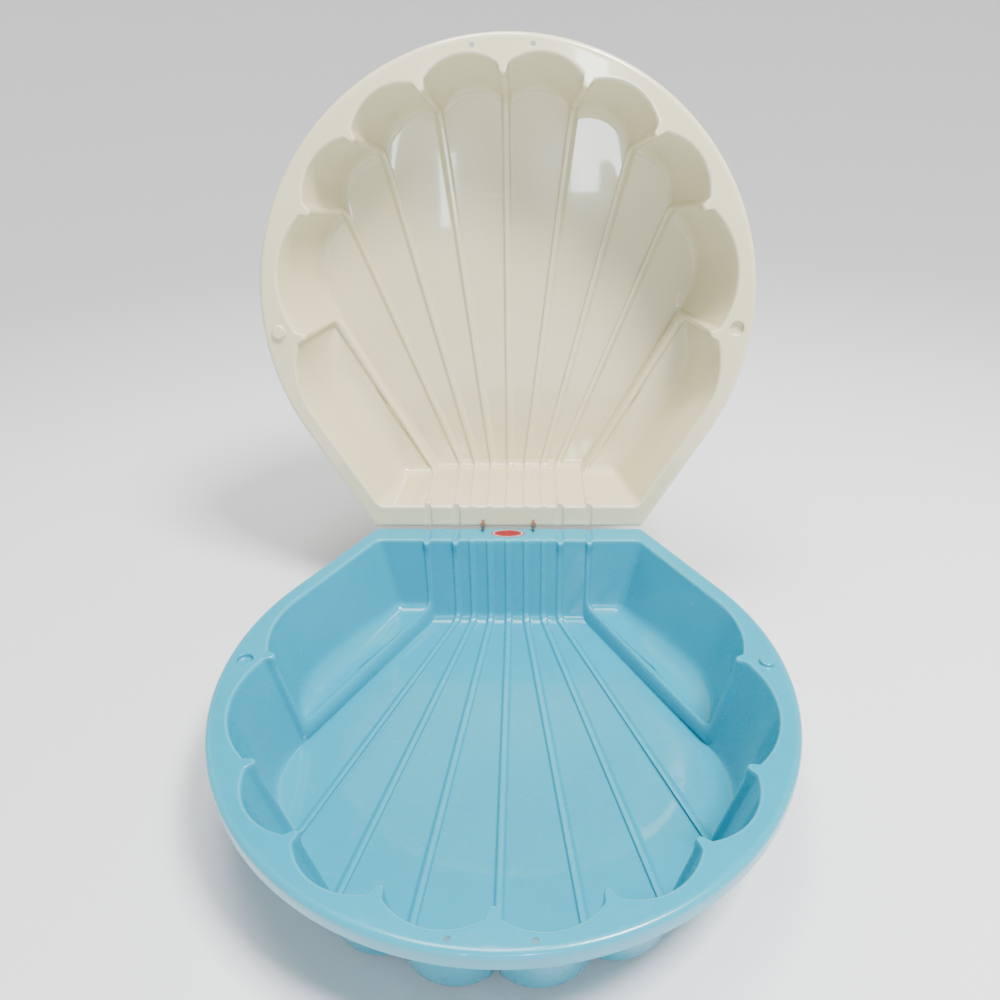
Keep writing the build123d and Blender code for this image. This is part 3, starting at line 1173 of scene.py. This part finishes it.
@dataclass
class HingeTie:
    """A ring of cord wound five times through both flanges, with a small knot behind.

    The turns lie close together where they pass through the flanges' holes, and fan out
    between them, on the side that faces the basin.
    """

    side: str
    hinge: Hinge
    x: float
    ring_r: float = 14.0
    strand_r: float = 1.2
    lay_r: float = 1.35
    turns: int = 5
    fan: float = 3.7
    fan_from: float = 98.0
    fan_to: float = 163.0
    knot_angle: float = -30.0
    knot_r: float = 15.25
    knot_size: float = 0.85
    knot_strand_r: float = 1.55
    knot_stretch: float = 1.2
    turn_points: int = 200
    knot_points: int = 120
    sides: int = 12

    def strand(self, path: Array, radius: float) -> Array:
        """Round tube along a closed path: each point plus radius · (cos b · side + sin b · rise).

        Args:
            path: points of the closed path.
            radius: of the tube.

        Returns:
            Points by place along the path and round the tube.
        """
        way = unit(np.roll(path, -1, axis=0) - np.roll(path, 1, axis=0))
        reference = np.array([1.001, 0.001, 0.001])  # close to X, so never along the path
        sideways = unit(np.cross(way, reference))
        rise = np.cross(sideways, way)
        angle = np.linspace(0.0, math.tau, self.sides + 1)
        across = sideways[:, None, :] * np.cos(angle)[None, :, None]
        across = across + rise[:, None, :] * np.sin(angle)[None, :, None]
        return path[:, None, :] + radius * across

    def turn_path(self, place: float) -> Array:
        """Path of one turn: the ring moved out by lay_r · cos p and aside by lay_r · sin p.

        Between the holes it is also moved aside by fan · sin p · sin²(180° · share of the way).

        Args:
            place: the angle p, where the turn lies in the bundle.

        Returns:
            Points of the closed path.
        """
        angle = np.linspace(0.0, math.tau, self.turn_points, endpoint=False)
        share = (np.degrees(angle) - self.fan_from) / (self.fan_to - self.fan_from)
        spread = np.sin(np.pi * np.clip(share, 0.0, 1.0)) ** 2
        reach = self.ring_r + self.lay_r * math.cos(place)
        x = self.x + (self.lay_r + self.fan * spread) * math.sin(place)
        y = self.hinge.back + reach * np.cos(angle)
        z = self.hinge.height + reach * np.sin(angle)
        return np.stack([x, y, z], axis=-1)

    def knot_path(self) -> Array:
        """Path of the knot, a trefoil: (sin t + 2 sin 2t, cos t - 2 cos 2t, -sin 3t)."""
        t = np.linspace(0.0, math.tau, self.knot_points, endpoint=False)
        x = np.sin(t) + 2.0 * np.sin(2.0 * t)
        y = np.cos(t) - 2.0 * np.cos(2.0 * t)
        z = -np.sin(3.0 * t)
        angle = math.radians(self.knot_angle)
        back = self.hinge.back + self.knot_r * math.cos(angle)
        middle = (self.x, back, self.hinge.height + self.knot_r * math.sin(angle))
        return np.stack([z * self.knot_stretch, x, y], axis=-1) * self.knot_size + middle

    def build(self) -> bpy.types.Object:
        """Make the tie and lay the strands' own UV map on it.

        Returns:
            The new object.
        """
        surface = Surface()
        places = math.tau * np.arange(self.turns) / self.turns
        paths = [(self.turn_path(place), self.strand_r) for place in places]
        paths.append((self.knot_path(), self.knot_strand_r))
        for path, radius in paths:
            surface.add(self.strand(path, radius), wrap=True)
        mesh = surface.mesh(f"hinge_tie_{self.side}_twine")
        lay_uv(mesh, "strand", self.strand_uv)
        piece = make_piece(f"hinge_tie_{self.side}_twine", mesh, TWINE, "base", crease=80.0)
        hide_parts(f"hinge_tie_{self.side}")
        return piece

    def strand_uv(self, points: Array) -> Array:
        """For each point, the angle round the hinge line and the height over the ring's plane."""
        x, y, z = (points - (self.x, self.hinge.back, self.hinge.height)).T
        return np.stack([np.arctan2(z, y), x + np.hypot(y, z)], axis=-1)


@dataclass
class OvalLabel:
    """Thin oval label with a softly rounded edge, on the base's rear flange."""

    length: float
    width: float
    x: float
    y: float
    low: float
    thickness: float
    spokes: int = 96
    flat_rings: int = 12
    flat_share: float = 0.96

    def build(self) -> bpy.types.Object:
        """Make the label: rings of an oval, flat on top and turned down at the edge.

        Returns:
            The new object.
        """
        flat = self.flat_rings
        rings = np.concatenate([np.linspace(0.0, self.flat_share, flat), [0.985, 0.997, 1.0, 1.0]])
        heights = np.concatenate([np.ones(flat), [0.9, 0.6, 0.3, 0.0]])
        angle = np.linspace(0.0, math.tau, self.spokes, endpoint=False)[:, None]
        x = self.x + self.length / 2.0 * rings * np.cos(angle)
        y = self.y + self.width / 2.0 * rings * np.sin(angle)
        z = np.broadcast_to(self.low + self.thickness * heights, x.shape)
        top = np.stack([x, y, z], axis=-1)
        under = np.stack([x, y, np.full_like(x, self.low)], axis=-1)[:, :flat]
        surface = Surface()
        surface.add(top, wrap=True)
        surface.add(np.concatenate([under, top[:, -1:]], axis=1), wrap=True)
        mesh = surface.mesh("badge_label")
        lay_uv(mesh, "oval", self.oval_uv)
        piece = make_piece("badge_label", mesh, LABEL, "base", crease=60.0)
        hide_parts("badge")
        return piece

    def oval_uv(self, points: Array) -> Array:
        """For each point, how far it is from the label's middle; the length is 1 at the edge."""
        u = (points[:, 0] - self.x) / (self.length / 2.0)
        v = (points[:, 1] - self.y) / (self.width / 2.0)
        return np.stack([u, v], axis=-1)


# ---------------------------------------------------------------- studio


@dataclass(frozen=True)
class SoftPanel:
    """A rectangular light: where it stands, what it looks at, its size in metres, colour and power."""

    name: str
    place: tuple
    target: tuple
    size: tuple
    power: float
    colour: tuple = (1.0, 1.0, 1.0)

    def build(self) -> None:
        """Hang the light."""
        light = bpy.data.lights.new(self.name, "AREA")
        light.shape = "RECTANGLE"
        light.size, light.size_y = self.size
        light.energy = self.power
        light.color = self.colour
        lamp = bpy.data.objects.new(self.name, light)
        aim = Vector(self.target) - Vector(self.place)
        turn = aim.to_track_quat("-Z", "Y").to_matrix().to_4x4()
        lamp.matrix_world = Matrix.Translation(self.place) @ turn
        lamp.visible_camera = False
        bpy.context.scene.collection.objects.link(lamp)


@dataclass
class Studio:
    """Pale floor, soft light from all round and a camera that looks down from the front."""

    eye: tuple = (0.0403, -0.9275, 1.0333)
    pitch: float = 30.04
    yaw: float = -2.36
    roll: float = -1.19
    lens: float = 28.6
    sky: tuple = (0.93, 0.97, 1.0, 1.0)
    sky_strength: float = 0.05
    flat_r: float = 3500.0
    floor_r: float = 11000.0
    floor_rise: float = 10000.0
    floor_gap: float = 0.3
    floor_rings: int = 40
    floor_spokes: int = 96

    def build(self) -> None:
        """Set up the floor, the lights and the camera."""
        self.floor()
        self.world()
        for panel in self.panels():
            panel.build()
        self.camera()

    def floor(self) -> None:
        """Level round floor whose edge sweeps up: height grows with the square of the way past flat_r."""
        radius = np.linspace(0.0, self.floor_r, self.floor_rings)[None, :]
        angle = np.linspace(0.0, math.tau, self.floor_spokes, endpoint=False)[:, None]
        share = np.clip((radius - self.flat_r) / (self.floor_r - self.flat_r), 0, 1)
        height = self.floor_rise * share**2 - self.floor_gap
        points = [radius * np.cos(angle), radius * np.sin(angle), height + 0.0 * angle]
        surface = Surface()
        surface.add(np.stack(points, axis=-1), wrap=True)
        mesh = surface.mesh("studio_floor", Vector((0, 0, -1)))
        mesh.flip_normals()
        mesh.shade_smooth()
        ground = bpy.data.objects.new("studio_floor", mesh)
        mesh.materials.append(FLOOR.material())
        bpy.context.scene.collection.objects.link(ground)

    def world(self) -> None:
        """Even pale light from every side."""
        world = bpy.data.worlds.new("studio_sky")
        world.use_nodes = True
        sky = world.node_tree.nodes["Background"]
        sky.inputs["Color"].default_value = self.sky
        sky.inputs["Strength"].default_value = self.sky_strength
        bpy.context.scene.world = world

    def panels(self) -> list[SoftPanel]:
        """A key panel high up to the right, one overhead, and two narrow bright ones that show in the
        cover's gloss.
        """
        middle, cool = (0.0, 0.2, 0.3), (0.78, 0.89, 1.0)
        right, left = (0.1, 0.6, 0.8), (-0.1, 0.6, 0.8)
        return [
            SoftPanel("key", (1.1, -0.7, 3.1), middle, (0.8, 0.8), 212.0),
            SoftPanel("overhead", (-0.3, 0.2, 3.2), middle, (1.4, 1.0), 77.0),
            SoftPanel("window_right", (0.36, -2.6, 1.30), right, (0.16, 0.85), 14.0, cool),
            SoftPanel("window_left", (-0.42, -2.6, 1.10), left, (0.09, 0.8), 6.0, cool),
        ]

    def camera(self) -> None:
        """Camera turned by yaw, tipped down by pitch and rolled about its own view."""
        yaw, pitch, roll = (math.radians(angle) for angle in (self.yaw, self.pitch, self.roll))
        level = math.cos(pitch)
        ahead = Vector((math.sin(yaw) * level, math.cos(yaw) * level, -math.sin(pitch)))
        right = Vector((math.cos(yaw), -math.sin(yaw), 0.0))
        up = right.cross(ahead)
        across = right * math.cos(roll) + up * math.sin(roll)
        upward = -right * math.sin(roll) + up * math.cos(roll)
        lens = bpy.data.cameras.new("camera")
        lens.sensor_width = 36.0
        lens.lens = self.lens
        lens.clip_end = 60.0
        camera = bpy.data.objects.new("camera", lens)
        turn = Matrix((across, upward, -ahead)).transposed().to_4x4()
        camera.matrix_world = Matrix.Translation(self.eye) @ turn
        bpy.context.scene.collection.objects.link(camera)
        bpy.context.scene.camera = camera


# ---------------------------------------------------------------- the whole object


def cad_hinge() -> Hinge:
    """The cover's hinge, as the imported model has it."""
    joint = next(joint for joint in frame["joints"] if joint["name"] == "cover_hinge")
    _, back, height = joint["pos_m"]
    return Hinge(back / MM, height / MM, joint["range_deg"][1])


def main() -> None:
    """Build the base, the cover, the ties, the label and the studio."""
    logging.basicConfig(level=logging.INFO, format="%(name)s: %(message)s")
    hinge = cad_hinge()
    low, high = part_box("base_shell")
    badge_low, badge_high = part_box("badge")
    flange_face = badge_low.z / MM
    for way, finish in ((Way.OPEN_SIDE_UP, AQUA), (Way.STANDING_OPEN, IVORY)):
        rim_r = (high.x - low.x) / 2.0 / MM
        ShellMoulding(way, finish, hinge, rim_r, high.y / MM, flange_face).build()
    for side in ("left", "right"):
        tie_low, tie_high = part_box(f"hinge_tie_{side}")
        HingeTie(side, hinge, (tie_low.x + tie_high.x) / 2.0 / MM).build()
    size = (badge_high - badge_low) / MM
    middle = (badge_high + badge_low) / 2.0 / MM
    OvalLabel(size.x, size.y, middle.x, middle.y, flange_face, size.z).build()
    Studio().build()


if __name__ == "__main__":
    main()
